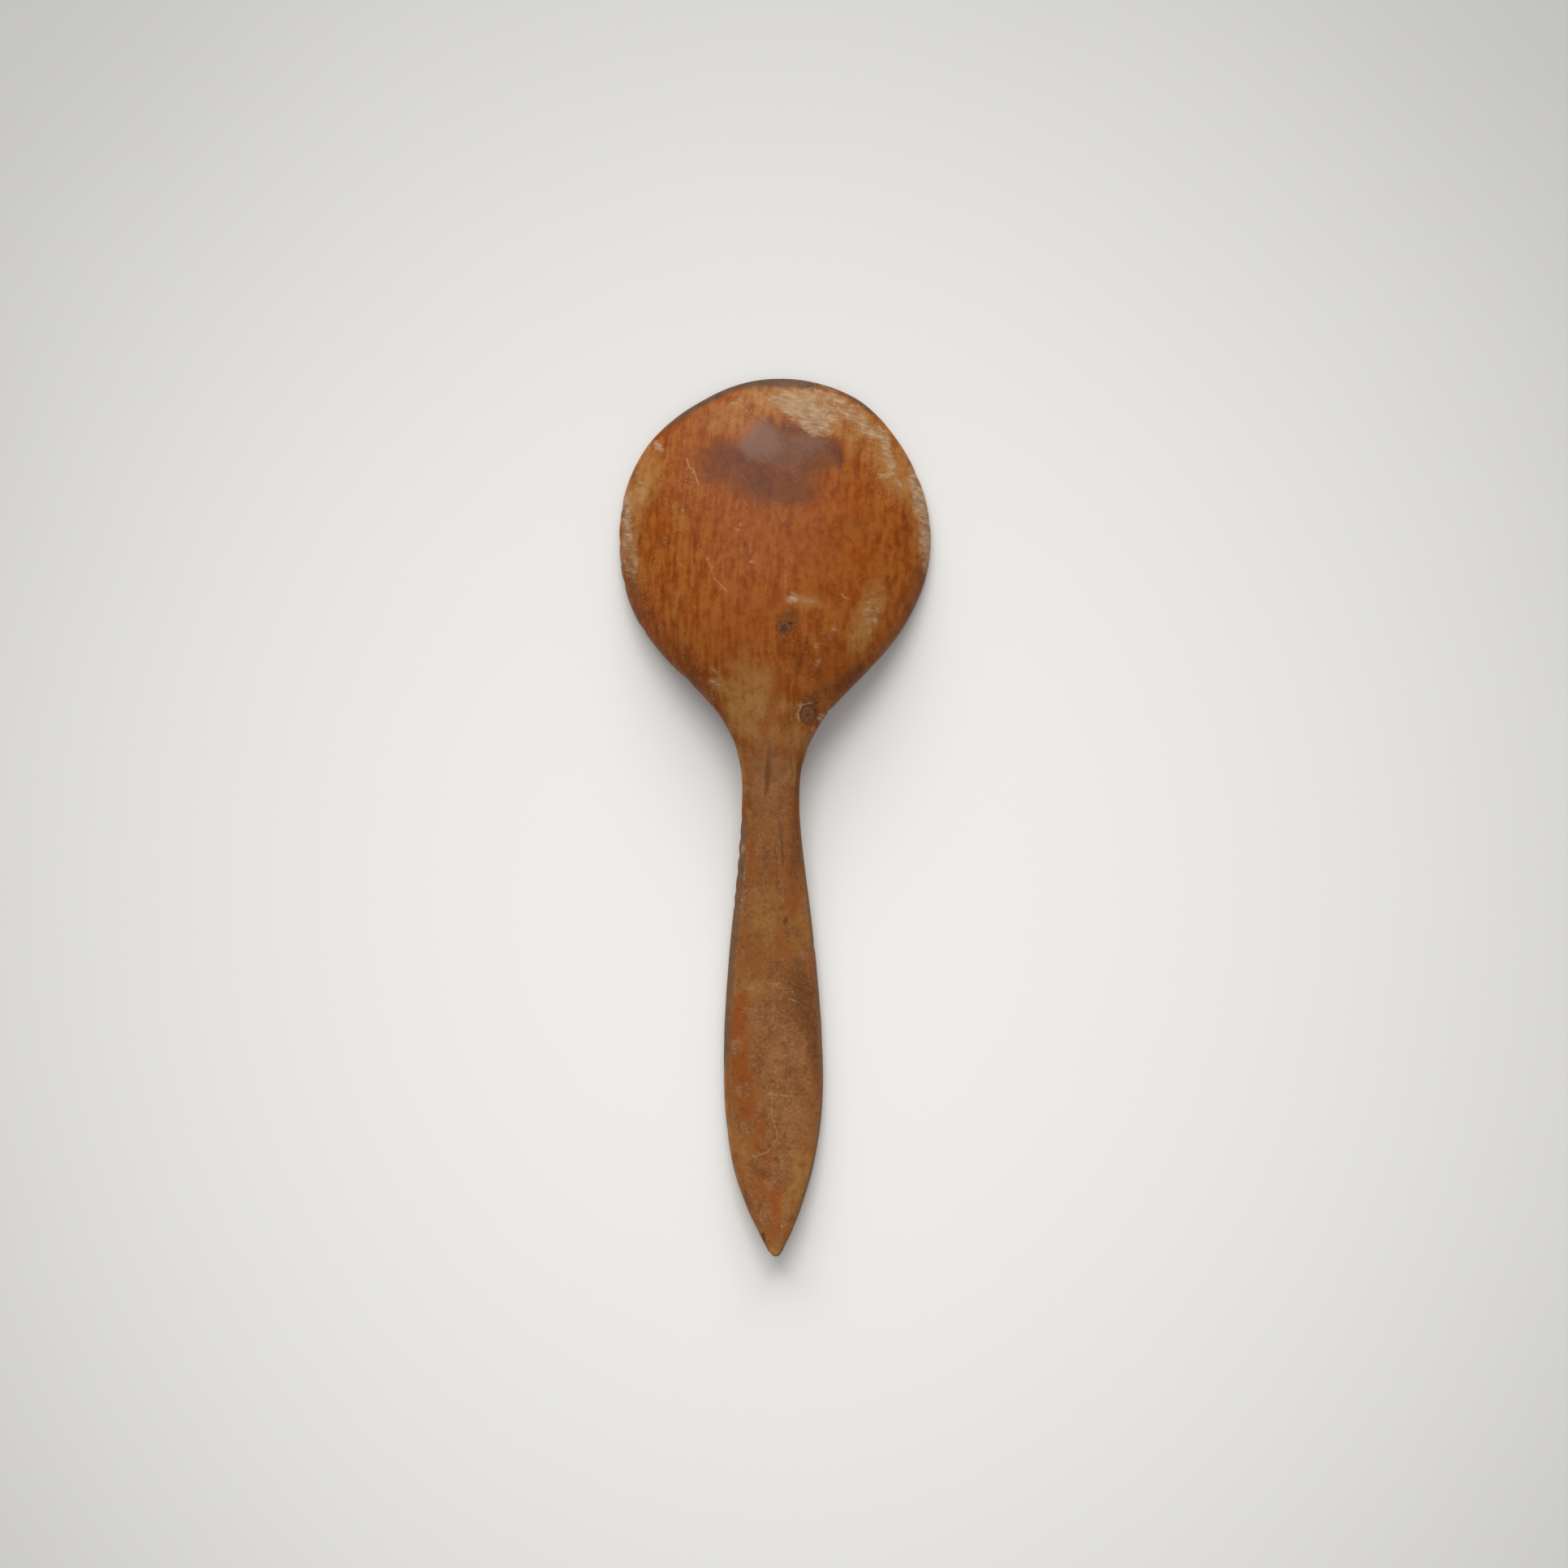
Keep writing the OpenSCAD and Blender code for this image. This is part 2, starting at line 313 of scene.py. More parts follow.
# Open checks in the wood: start, end, half width and depth, in millimetres
CHECKS = [
    ((13.3, 34.7), (16.4, 33.9), 0.2, 0.45),
    ((3.8, 62.4), (4.1, 58.4), 0.16, 0.3),
    ((-4.1, -142.2), (-3.5, -144.6), 0.24, 0.5),
]


def segment_distance(x, y, a, b):
    """Distance in plan from a line between two points given in millimetres."""
    ax, ay, bx, by = a[0] * MM, a[1] * MM, b[0] * MM, b[1] * MM
    dx, dy = bx - ax, by - ay
    t = np.clip(((x - ax) * dx + (y - ay) * dy) / (dx * dx + dy * dy), 0, 1)
    return np.hypot(x - ax - t * dx, y - ay - t * dy)


def openings(x, y):
    """Depth of the pits that the knots stand in, and of the open checks."""
    depth = 0
    for cx, cy, rx, ry in KNOTS:
        away = (np.hypot((x - cx) / rx, (y - cy) / ry) - 1) * rx
        depth = np.maximum(depth, PIT_DEPTH * (1 - ease(away / PIT_WALL)))
    for a, b, wide, deep in CHECKS:
        away = segment_distance(x, y, a, b)
        depth = np.maximum(depth, deep * MM * (1 - ease(away / (2 * wide * MM))))
    return depth


# Fine scratches on the back, in millimetres: start, end, half width
PALE_SCRATCHES = [
    ((-2.2, -94.3), (0.6, -95.0), 0.28), ((1.4, -94.6), (6.0, -95.2), 0.22),
    ((-0.8, -95.6), (-1.2, -101), 0.16), ((-1.2, -101), (0.9, -108.8), 0.15),
    ((0.9, -109.2), (-0.3, -111.2), 0.22), ((-0.3, -111.2), (-2.6, -114.4), 0.16),
    ((-2.6, -114.4), (-7.8, -115.9), 0.2), ((22.7, 75.6), (24.3, 74.0), 0.3),
    ((-23.4, 89.2), (-20.4, 81), 0.16), ((-20.4, 81), (-16.2, 76.2), 0.2),
    ((-13.3, 96.4), (-11.6, 99.6), 0.12), ((-8.5, 92), (-7.8, 86), 0.12),
    ((18.2, 129.8), (21.6, 133.2), 0.2), ((19.4, 131.6), (23.0, 136.5), 0.14),
    ((13.5, 148.4), (14.4, 143.8), 0.16), ((15.0, 147.6), (20.8, 145.4), 0.16),
    ((-5.8, -5.6), (-4.6, -8.4), 0.18), ((-4.4, -5.0), (-3.6, -6.6), 0.16),
    ((-2.0, -57.0), (2.0, -56.6), 0.2), ((0.5, -57.9), (5.5, -58.6), 0.14),
    ((4.6, -61.6), (7.6, -63.2), 0.22), ((35.0, 116.9), (39.8, 116.7), 0.3),
    ((35.4, 115.9), (38.6, 115.6), 0.2), ((3.2, 84), (3.9, 77), 0.1),
    ((-27.8, 118.5), (-26.0, 113.2), 0.3), ((-30.2, 122), (-28.6, 118.4), 0.25),
    ((26.5, 60.8), (27.6, 57.2), 0.14), ((6.5, 146.6), (8.8, 139.2), 0.14),
    ((10.8, 145.6), (12.2, 137), 0.16), ((16.5, 143.4), (17.6, 136), 0.12),
    ((8.1, 32.6), (7.8, 35.4), 0.34), ((7.8, 35.4), (9.0, 37.9), 0.4),
    ((9.0, 37.9), (12.6, 38.8), 0.3), ((16.2, 34.8), (17.6, 33.4), 0.25),
]
DARK_SCRATCHES = [
    ((-13, 119.5), (-6, 111), 0.16), ((-10.5, 124), (-1, 113.5), 0.14),
    ((-5.5, 121), (0, 115.4), 0.16), ((-9, 112.6), (4.4, 98.5), 0.13), ((-15.6, 112), (-8, 103), 0.12),
    ((1.5, 128.5), (5.2, 122), 0.12), ((22.0, 124), (22.4, 119.5), 0.3),
    ((22.8, 117), (24.4, 113), 0.14), ((2.1, -2.4), (2.7, -16.4), 0.22), ((0.2, -9), (0.6, -21), 0.14),
    ((10.9, 61.5), (10.3, 56), 0.2), ((-8.4, 137.6), (-3.0, 133.4), 0.12),
]


def near_detail(x, y, reach):
    """True within reach of a knot, a check or a scratch."""
    near = np.zeros(len(x), bool)
    for cx, cy, _, ry in KNOTS:
        near |= np.hypot(x - cx, y - cy) < ry + reach
    for line in CHECKS + PALE_SCRATCHES + DARK_SCRATCHES:
        near |= segment_distance(x, y, line[0], line[1]) < reach
    return near


# ---------------------------------------------------------------- mesh of the billet

STATIONS = 321
BACK_RINGS = 56
UNDER_RINGS = 36
SIDE_RINGS = 4
ARRIS_TOP = 0.7 * MM
ARRIS_UNDER = 0.6 * MM
LIP_KNEE = 44 * MM
TIP_KNEE = -130 * MM
OUTLINE_SAMPLES = 6001
END_POINTS = 6
TIP_REACH = 2 * MM
TIP_WEAR = 0.2 * MM
TIP_ROUND = 4 * MM


def edge_loop():
    """The outline as a closed loop, its inward normals, and where on the middle line each row ends."""
    f = 0.5 - 0.5 * np.cos(np.linspace(0, math.pi, OUTLINE_SAMPLES))
    x, y = middle(f) + half_width(f), LOW.y + f * LENGTH
    along = np.concatenate([[0], np.cumsum(np.hypot(np.diff(x), np.diff(y)))])
    f = np.interp(np.linspace(0, along[-1], STATIONS), along, f)
    m, w, y = middle(f), half_width(f), LOW.y + f * LENGTH
    right, left = np.stack([m + w, y], 1)[::-1], np.stack([m - w, y], 1)
    tip = np.linspace(right[-1], left[0], END_POINTS + 2)[1:-1]
    lip = np.linspace(left[-1], right[0], END_POINTS + 2)[1:-1]
    loop = np.concatenate([right, tip, left, lip])
    side = np.sign(loop[:, 0] - middle((loop[:, 1] - LOW.y) / LENGTH))

    run = np.roll(loop, -1, 0) - np.roll(loop, 1, 0)
    inward = np.stack([run[:, 1], -run[:, 0]], 1) / np.linalg.norm(run, axis=1)[:, None]
    worn = loop + inward * outline_wear(side, loop[:, 1])[:, None]
    end = 1 - ease((loop[:, 1] - LOW.y) / TIP_REACH)
    worn[:, 1] += end * (TIP_WEAR + (loop[:, 0] - middle(0)) ** 2 / TIP_ROUND)
    past_lip = np.maximum(loop[:, 1] - LIP_KNEE, 0)
    past_tip = np.maximum(TIP_KNEE - loop[:, 1], 0)
    spine = loop[:, 1] - past_lip**2 / (2 * (HIGH.y - LIP_KNEE)) + past_tip**2 / (2 * (TIP_KNEE - LOW.y))
    return worn, inward, np.stack([middle((spine - LOW.y) / LENGTH), spine], 1)


def arris(inset, radius):
    """How far a rounded edge falls away at a distance from it."""
    t = np.clip(1 - inset / radius, 0, 1)
    return radius * (1 - np.sqrt(1 - t * t))


def arris_radius(x, y, radius):
    f, _ = place_of(x, y)
    return np.minimum(radius, 0.45 * np.maximum(high_arris_at(f) - low_arris_at(f), 0))


def whole_back(x, y, inset):
    """Height of the back with its relief, and with no knot or check in it."""
    z = side_bevels(back_z(x, y) + back_relief(x, y, inset), x, y, inset)
    return z - arris(inset, arris_radius(x, y, ARRIS_TOP))


def underside(x, y, inset):
    z = under_z(x, y, inset) + hollow_relief(x, y, inset) + arris(inset, arris_radius(x, y, ARRIS_UNDER))
    return np.maximum(z, LOW.z)


def billet_rings():
    """Rings of points from the middle of the back, out over the edge and in to the middle of the hollow."""
    edge, inward, spine = edge_loop()

    def sheet(rings, height):
        share = np.linspace(1, 0, rings + 1)
        rows = []
        for s in 1 - (0.3 * share + 0.7 * share**2):
            xy = spine + (edge - spine) * s
            inset = np.abs(((edge - xy) * inward).sum(1))
            rows.append(np.column_stack([xy, height(xy[:, 0], xy[:, 1], inset), inset]))
        return rows

    back, under = sheet(BACK_RINGS, whole_back), sheet(UNDER_RINGS, underside)
    side = [back[-1] + (under[-1] - back[-1]) * (k / SIDE_RINGS) for k in range(1, SIDE_RINGS)]
    rings = back + side + under[::-1]
    is_back = np.repeat([1.0] * len(back) + [0.0] * (len(side) + len(under)), len(edge))

    # Both walks along the middle line use the same points
    number = np.arange(len(rings) * len(edge)).reshape(len(rings), -1)
    for row in (0, -1):
        place = np.round(rings[row][:, :2] / MM, 4)
        _, first, same = np.unique(place, axis=0, return_index=True, return_inverse=True)
        number[row] = number[row][first][same.ravel()]
    a, b = number[:-1], number[1:]
    quads = np.stack([a, b, np.roll(b, -1, 1), np.roll(a, -1, 1)], -1).reshape(-1, 4)
    faces = []
    for quad in quads.tolist():
        corners = [v for k, v in enumerate(quad) if v != quad[k - 1]]
        if len(set(corners)) > 2:
            faces.append(corners)
    return np.concatenate(rings), is_back, faces


def positions(mesh):
    co = np.empty(len(mesh.vertices) * 3)
    mesh.vertices.foreach_get("co", co)
    return co.reshape(-1, 3)


def read_layer(mesh, name):
    values = np.empty(len(mesh.vertices), np.float32)
    mesh.attributes[name].data.foreach_get("value", values)
    return values


def write_layer(mesh, name, values):
    layer = mesh.attributes.get(name) or mesh.attributes.new(name, "FLOAT", "POINT")
    layer.data.foreach_set("value", np.asarray(values, np.float32))


# How near to a detail the mesh is made finer, and how many cuts each edge gets there
FINER = [(1.1 * MM, 2), (0.45 * MM, 1)]


def billet():
    """The carved piece: rings of points, made finer round the knots and checks that are sunk into it."""
    points, is_back, faces = billet_rings()
    mesh = bpy.data.meshes.new("carved_scoop")
    mesh.from_pydata(points[:, :3].tolist(), [], faces)
    write_layer(mesh, "inset", points[:, 3])
    write_layer(mesh, "back", is_back)

    work = bmesh.new()
    work.from_mesh(mesh)
    layer = work.verts.layers.float["back"]
    for reach, cuts in FINER:
        work.verts.index_update()
        place = np.array([v.co[:2] for v in work.verts])
        on_back = np.array([v[layer] for v in work.verts]) > 0.999
        near = near_detail(place[:, 0], place[:, 1], reach) & on_back
        fine = [e for e in work.edges if near[e.verts[0].index] and near[e.verts[1].index]]
        bmesh.ops.subdivide_edges(work, edges=fine, cuts=cuts, use_grid_fill=True)
    loose = [v for v in work.verts if not v.link_faces]
    bmesh.ops.delete(work, geom=loose, context="VERTS")
    work.to_mesh(mesh)
    work.free()

    co, inset = positions(mesh), read_layer(mesh, "inset")
    top = read_layer(mesh, "back") > 0.999
    x, y = co[top, 0], co[top, 1]
    co[top, 2] = whole_back(x, y, inset[top]) - openings(x, y)
    mesh.vertices.foreach_set("co", co.ravel())
    return mesh


KNOT_SIDES = 56
KNOT_ROWS = 16
KNOT_DEPTH = 1.6 * MM


def knot_body(name, knot, dish, ring_height, seed):
    """A knot's end: an oval face with its growth rings and shrinkage, and a side that goes into the pit."""
    cx, cy, rx, ry = knot
    around = np.linspace(0, 2 * math.pi, KNOT_SIDES, endpoint=False)
    rows = []
    for s in np.linspace(0.04, 1, KNOT_ROWS):
        wander = 1 + 0.02 * s * value_noise(around * 3 * MM, around * 0, 2 * MM, 1, seed)
        grow = s * wander * (1 + 0.85 * PIT_WALL / rx)
        x, y = cx + rx * grow * np.cos(around), cy + ry * grow * np.sin(around)
        z = whole_back(x, y, np.full(len(x), 6 * MM)) - dish
        z = z + ring_height * math.sin(15 * s) - 0.06 * MM * float(ease((s - 0.9) / 0.1))
        z = z + 0.07 * MM * value_noise(x, y, 0.8 * MM, 0.8 * MM, seed + 1)
        rows.append(np.column_stack([x - cx, y - cy, z]))
    rows.append(rows[-1] - (0, 0, KNOT_DEPTH))
    points = np.concatenate([*rows, rows[0].mean(0)[None], rows[-1].mean(0)[None]])
    top, bottom = len(points) - 2, len(points) - 1
    last = KNOT_ROWS * KNOT_SIDES
    faces = []
    for k in range(KNOT_SIDES):
        j = (k + 1) % KNOT_SIDES
        faces += [(top, k, j), (bottom, last + j, last + k)]
        for r in range(0, last, KNOT_SIDES):
            faces.append((r + k, r + KNOT_SIDES + k, r + KNOT_SIDES + j, r + j))
    mesh = bpy.data.meshes.new(name)
    mesh.from_pydata(points.tolist(), [], faces)
    piece = new_piece(name, mesh)
    piece.location = (cx, cy, 0)
    return piece


def new_piece(name, mesh):
    mesh.shade_smooth()
    piece = bpy.data.objects.new(name, mesh)
    bpy.context.scene.collection.objects.link(piece)
    return piece


# ---------------------------------------------------------------- where each colour of the wood lies

# Patches on the back, in millimetres: x, y, half width, half length, turn, softness, strength
PAINT = {
    # The dark, polished stain near the lip, and in its upper half a bluish film whose lightness is partly a
    # painted sheen of the window light
    "stain": [
        (-1, 120.5, 15, 11, -8, 0.45, 0.95), (4, 130, 9, 6, -10, 0.5, 0.9),
        (15, 124.5, 8, 6.5, -20, 0.45, 0.9), (-18, 120, 10, 8, 10, 0.7, 0.75),
        (21.3, 121.5, 1.3, 5, 8, 0.5, 0.8), (2, 110.5, 14, 5.5, -5, 0.6, 0.75),
    ],
    "bloom_and_sheen": [
        (-6, 128.5, 6.5, 6.5, 20, 0.8, 1), (3, 124, 9, 6, -20, 0.9, 0.5),
        (13, 127, 7, 4, -20, 0.8, 0.6),
    ],
    # Bare wood, worn through at the lip, along the rim and on the high places
    "raw": [
        (4, 142, 6.5, 4, -10, 0.7, 0.85), (11, 138.5, 8, 4.5, -30, 0.7, 1),
        (14.5, 134, 4, 3.5, -50, 0.6, 0.9), (20, 142.5, 9, 3, -22, 0.7, 0.7),
        (18, 138, 10, 3, -20, 0.8, 0.5), (31, 133.5, 7, 2.5, -42, 0.7, 0.7),
        (37, 128.5, 5, 2.2, -55, 0.7, 0.75), (39.5, 121.5, 2, 6, 8, 0.7, 0.65),
        (37.5, 116.8, 3, 0.9, 5, 0.5, 0.7), (41.5, 112.8, 1.4, 2.4, 40, 0.6, 0.8),
        (49.3, 109, 2.4, 9, 14, 0.7, 1), (51.2, 97, 2.5, 12, 3, 0.7, 1),
        (51.4, 87, 1.1, 6, -6, 0.6, 0.5), (-39.4, 125.8, 2.4, 1.3, -50, 0.5, 0.85),
        (-51.2, 101, 1.8, 10, 0, 0.8, 0.85), (-49, 88, 2.4, 8, 8, 0.8, 0.6),
        (-46.5, 113, 2.4, 9, 14, 0.8, 0.45), (5.2, 73.8, 2.0, 1.9, 20, 0.6, 0.95),
        (10.5, 73.2, 2.8, 1.8, -10, 0.8, 0.5), (33.5, 67.2, 0.7, 1.5, -20, 0.4, 0.8),
        (31.5, 70, 2.4, 7, -20, 0.9, 0.5), (14.7, 58.6, 0.8, 1.8, -20, 0.5, 0.7),
        (31.5, 63, 0.7, 0.7, 0, 0.5, 0.7), (-20.5, 45.5, 1.6, 1.6, 0, 0.7, 0.7),
        (8.0, 37.4, 1.1, 1.5, -35, 0.7, 0.7), (12.9, 29, 0.8, 1.3, -30, 0.4, 0.8),
        (15.2, 33.4, 0.8, 1.6, -35, 0.6, 0.7), (7.2, 34.2, 0.6, 1.4, 10, 0.6, 0.6),
        (17.6, 36.2, 0.7, 0.8, 0, 0.4, 0.6), (-10.8, -11.5, 0.5, 1.6, 0, 0.5, 0.7),
        (-10.3, -19, 0.4, 2.4, -8, 0.5, 0.6), (-11.3, -29, 0.5, 2, -8, 0.5, 0.6),
        (-13.3, -49, 0.5, 2, 0, 0.5, 0.5), (10, -47.5, 1.6, 1.2, 30, 0.6, 0.5),
        (-3.2, -35.5, 0.7, 3.6, -28, 0.5, 0.45), (-8.5, -59, 5, 4, 0, 0.9, 0.25),
        (6, -81, 3, 1, 0, 0.8, 0.35), (-9, -68, 3, 3, 30, 0.9, 0.3), (-20, 50, 1, 2.6, 30, 0.7, 0.5),
        (14, 52, 1, 3, -25, 0.7, 0.5), (20, 63, 1.6, 3.4, -30, 0.8, 0.35),
        (-30, 128, 2.2, 1.4, 30, 0.8, 0.4), (-14, 141, 3, 1, 20, 0.8, 0.5),
        (-37, 93, 1, 3, 10, 0.8, 0.35), (0.6, -110.5, 1, 1.6, -30, 0.8, 0.4),
        (2.5, -138.3, 0.7, 0.7, 0, 0.6, 0.7), (-4.8, -135, 0.6, 0.8, 0, 0.6, 0.6),
        (-28, 116, 1, 3, 20, 0.8, 0.4), (-32, 105, 1.2, 2, 0, 0.8, 0.5),
    ],
    # Lighter, olive and tan places where the finish is thin, and along the lower handle's edges a painted
    # reflection of the table
    "tan": [
        (-10, 139, 17, 7, 18, 0.8, 0.5), (24, 127, 8, 8, 0, 0.9, 0.35), (0, 8, 6, 9, 0, 0.9, 0.45),
        (12, 140, 16, 7, -18, 0.8, 0.7), (-44.5, 115, 6, 12, -18, 0.8, 0.8),
        (-49, 96, 4.5, 14, 0, 0.8, 0.6), (33, 130, 12, 7, -45, 0.8, 0.5),
        (43, 117, 6.5, 15, 22, 0.8, 0.7), (50, 98, 3.5, 12, 0, 0.8, 0.5),
        (30.5, 68, 4.4, 12, -20, 0.7, 1), (11, 72.8, 6, 3.5, -10, 0.8, 0.8),
        (-9, 41, 9, 14, 0, 0.9, 1), (0, 30, 7, 9, 0, 0.9, 0.4), (-21, 44, 4, 4, 0, 0.8, 0.6),
        (8, 25, 3.5, 10, 0, 0.8, 0.5), (-11, 21, 3, 11, 8, 0.8, 0.6), (-8, 3, 3, 4, 0, 0.8, 0.35),
        (-4.5, -33, 6, 9, -12, 0.8, 0.65), (9, -39, 4.5, 7, 0, 0.8, 0.5),
        (-8.5, -59, 6, 5, 0, 0.8, 0.6), (4, -93, 9, 16, 0, 0.9, 0.4),
        (8.5, -123, 4.5, 14, -18, 0.8, 0.7), (-11, -116, 3, 16, 18, 0.8, 0.45),
        (0, -147, 3.5, 3.5, 0, 0.7, 0.6), (-30, 100, 5, 12, 0, 0.9, 0.3),
        (-33, 72, 5, 9, 0, 0.9, 0.25),
    ],
    # Strong orange where the finish is thick and clean
    "orange": [
        (-16, 105, 22, 16, 0, 0.9, 0.4), (18, 92, 22, 26, 0, 0.9, 0.6), (-10, 62, 16, 18, 0, 0.9, 0.5),
        (22, 50, 8, 7, -30, 0.8, 0.6), (-1, 38, 1.8, 12, -14, 0.7, 0.85),
        (-4.2, 25, 1.4, 7, -12, 0.7, 0.7), (1.5, 10, 1.5, 12, 0, 0.7, 0.8),
        (-8.5, -6, 1.8, 10, 0, 0.7, 0.5), (6, -28, 1.4, 10, 0, 0.7, 0.55),
        (-12.3, -69, 2.8, 10, -10, 0.5, 0.9), (-11.2, -87, 3.4, 11, 6, 0.5, 0.95),
        (-9.6, -101, 2.8, 6, 6, 0.7, 0.6), (-5, -106, 2.2, 7, -8, 0.5, 0.8),
        (-2, -114.5, 3, 3, 0, 0.6, 0.8), (-5, -125, 3.6, 7.5, 10, 0.6, 0.6),
        (0.8, -130, 2, 7, 0, 0.6, 0.7), (0, -140, 3, 5, 0, 0.8, 0.6),
    ],
    # Brown and black where dirt and handling have gone in; along the bowl's lower edges, also painted shade
    "dark": [
        (-14, 146.5, 16, 1.6, 10, 0.7, 0.6), (-33, 136, 10, 1.6, 38, 0.7, 0.6),
        (30, 141, 8, 1.2, -40, 0.7, 0.6), (-52, 104, 1.0, 3, 0, 0.5, 0.7),
        # The next five patches, along the bowl's lower left and right edges, are painted shade as well as
        # brown dirt
        (-49.5, 81, 3, 9, 14, 0.8, 0.55), (-43, 66, 6, 10, 30, 0.9, 0.45),
        (-33, 53, 6, 6, 40, 0.9, 0.4), (49, 78, 3.5, 11, -12, 0.8, 0.55),
        (43, 63, 5, 10, -36, 0.8, 0.5), (-25, 45, 7, 2.2, -48, 0.7, 0.65),
        (-17.5, 33, 1.8, 5, 20, 0.7, 0.4), (26, 47.5, 8, 3, 45, 0.7, 0.75),
        (14, 41, 6, 2.6, 30, 0.7, 0.6), (3.6, 66, 4.5, 4.5, 0, 0.9, 0.75),
        (5.6, 68.6, 2.4, 2.2, 0, 0.9, 0.45), (10.7, 59, 0.7, 4.5, 0, 0.6, 0.6),
        (8.2, 50.5, 0.7, 6, 0, 0.6, 0.5), (11.3, 34.6, 4.4, 4.8, 0, 0.7, 0.7),
        (29, 100, 1.8, 2.4, 0, 0.9, 0.5), (17, 94, 2.4, 3, 0, 0.9, 0.4),
        (-22, 92, 1.4, 5, 0, 0.9, 0.35), (6, 84, 1.2, 5, 0, 0.9, 0.35), (-2, 16, 1.1, 9, 0, 0.7, 0.75),
        (8.4, 13, 1.6, 12, 0, 0.7, 0.85), (5.2, 18, 0.6, 8, 0, 0.7, 0.5),
        (7.6, -10, 2.6, 14, -6, 0.8, 0.65), (2.2, -9, 0.5, 8, 2, 0.6, 0.5),
        (3.6, -35.6, 0.8, 1.6, -20, 0.5, 0.9), (9, -60, 5.5, 10, 8, 0.9, 0.8),
        (13.2, -78, 2.6, 15, 6, 0.8, 0.7), (-2, -54, 4, 1.3, 0, 0.8, 0.45),
        (-5, -120.5, 4, 2.2, 0, 0.6, 0.6), (3, -68, 8, 6, 0, 0.9, 0.3),
        (-0.2, -116.7, 0.5, 0.4, 0, 0.5, 0.9), (-3.8, -143.4, 0.8, 2.2, 14, 0.6, 0.8),
        (0, -149.3, 1.6, 0.9, 0, 0.6, 0.7), (-9, -40, 2, 10, 6, 0.9, 0.3),
    ],
    # A thin grey film over the neck and the middle of the handle
    "film": [
        (-1.5, 19, 1.8, 9, 0, 0.6, 0.9), (0, 12, 8, 12, 0, 0.9, 0.8), (-7.5, 12, 2.4, 14, 0, 0.8, 0.6),
        (0, 4, 6, 6, 0, 0.8, 0.45), (0, -66, 11, 9, 0, 0.8, 0.6), (4, -84, 10, 18, 0, 0.8, 0.65),
        (2, -106, 9, 13, 0, 0.8, 0.5), (-13, -78, 2.2, 3, 0, 0.6, 0.9),
        (-11, -92.5, 2.6, 3.4, 0, 0.6, 0.8), (-10.6, -105.4, 2.3, 2.3, 0, 0.6, 0.9),
        (-5.6, -119.6, 1.8, 1.6, 0, 0.6, 0.9), (-2, -125.6, 1.9, 2.2, 0, 0.6, 0.9),
        (1, -120, 3.5, 7, 0, 0.8, 0.5),
    ],
    # A thin pale tan laid over the neck, lightening it
    "haze": [(-1, 16, 9, 17, 0, 0.9, 0.9), (-8, 38, 8, 10, 0, 0.9, 0.6), (-2, -4, 8, 8, 0, 0.9, 0.4)],
    # Where small pale flecks are scattered
    "fleck": [
        (-50, 95, 5, 24, 0, 0.6, 1), (-46, 76, 6, 15, 20, 0.8, 0.8), (-30, 116, 5, 9, 20, 0.8, 1),
        (-12, 139, 14, 4.5, 15, 0.7, 1), (-32, 106, 6, 6, 0, 0.8, 0.9), (38, 117, 7, 17, 20, 0.7, 1),
        (30, 133, 13, 6, -40, 0.7, 1), (10, 139, 20, 7, -15, 0.7, 1), (48, 60, 13, 13, 0, 0.9, 0.7),
        (-24, 44, 11, 6, -48, 0.7, 1), (10, 58, 13, 12, 0, 0.9, 0.7), (12, 36, 8, 8, 0, 0.7, 1),
        (-10.5, -20, 1.7, 24, -6, 0.6, 0.9), (-13.5, -52, 1.4, 13, 2, 0.6, 1),
        (5, -60, 9, 7, 0, 0.7, 1), (2, -78, 9, 10, 0, 0.8, 0.8), (0, -130, 9, 15, 0, 0.8, 0.8),
        (0, 0, 9, 14, 0, 0.9, 0.7),
    ],
}


def bent_place(x, y):
    """Points pushed about by noise, so that no painted place is a clean oval; less so on the handle."""
    shift_x = 1.1 * value_noise(x, y, 5 * MM, 9 * MM, 21) + 0.5 * value_noise(x, y, 1.8 * MM, 3 * MM, 22)
    shift_y = 1.3 * value_noise(x, y, 5 * MM, 8 * MM, 23) + 0.5 * value_noise(x, y, 1.8 * MM, 2.6 * MM, 24)
    narrow = ease((16 - y / MM) / 30)
    return x + MM * shift_x * (1 - 0.5 * narrow), y + MM * shift_y


def paint_places(mesh):
    """Writes how much of each colour lies at each vertex of the back."""
    x, y, _ = positions(mesh).T
    inset, back = read_layer(mesh, "inset") / MM, read_layer(mesh, "back")
    bent_x, bent_y = bent_place(x, y)
    for name, patches in PAINT.items():
        bare = np.ones(len(x))
        for px, py, rx, ry, turn, soft, strength in patches:
            bare = bare * (1 - strength * spot(bent_x, bent_y, px, py, rx, ry, turn, soft))
        if name == "tan":
            # Tan along the edges of the lower handle is a painted reflection of the bright table on them
            bare = bare * (1 - 0.6 * ease((-50 - y / MM) / 20) * (1 - ease((inset - 0.6) / 0.8)))
        write_layer(mesh, name, (1 - bare) * back)


def paint_scratches(mesh):
    x, y, _ = positions(mesh).T
    back = read_layer(mesh, "back")
    wavy_x = x + 0.14 * MM * value_noise(x, y, 1.6 * MM, 2.2 * MM, 25)
    wavy_y = y + 0.14 * MM * value_noise(x, y, 1.6 * MM, 2.2 * MM, 26)
    for name, scratches in (("pale_line", PALE_SCRATCHES), ("dark_line", DARK_SCRATCHES)):
        line = np.zeros(len(x))
        for start, end, wide in scratches:
            away = segment_distance(wavy_x, wavy_y, start, end) / (wide * MM)
            line = np.maximum(line, 1 - ease((away - 0.3) / 0.9))
        write_layer(mesh, name, line * back)


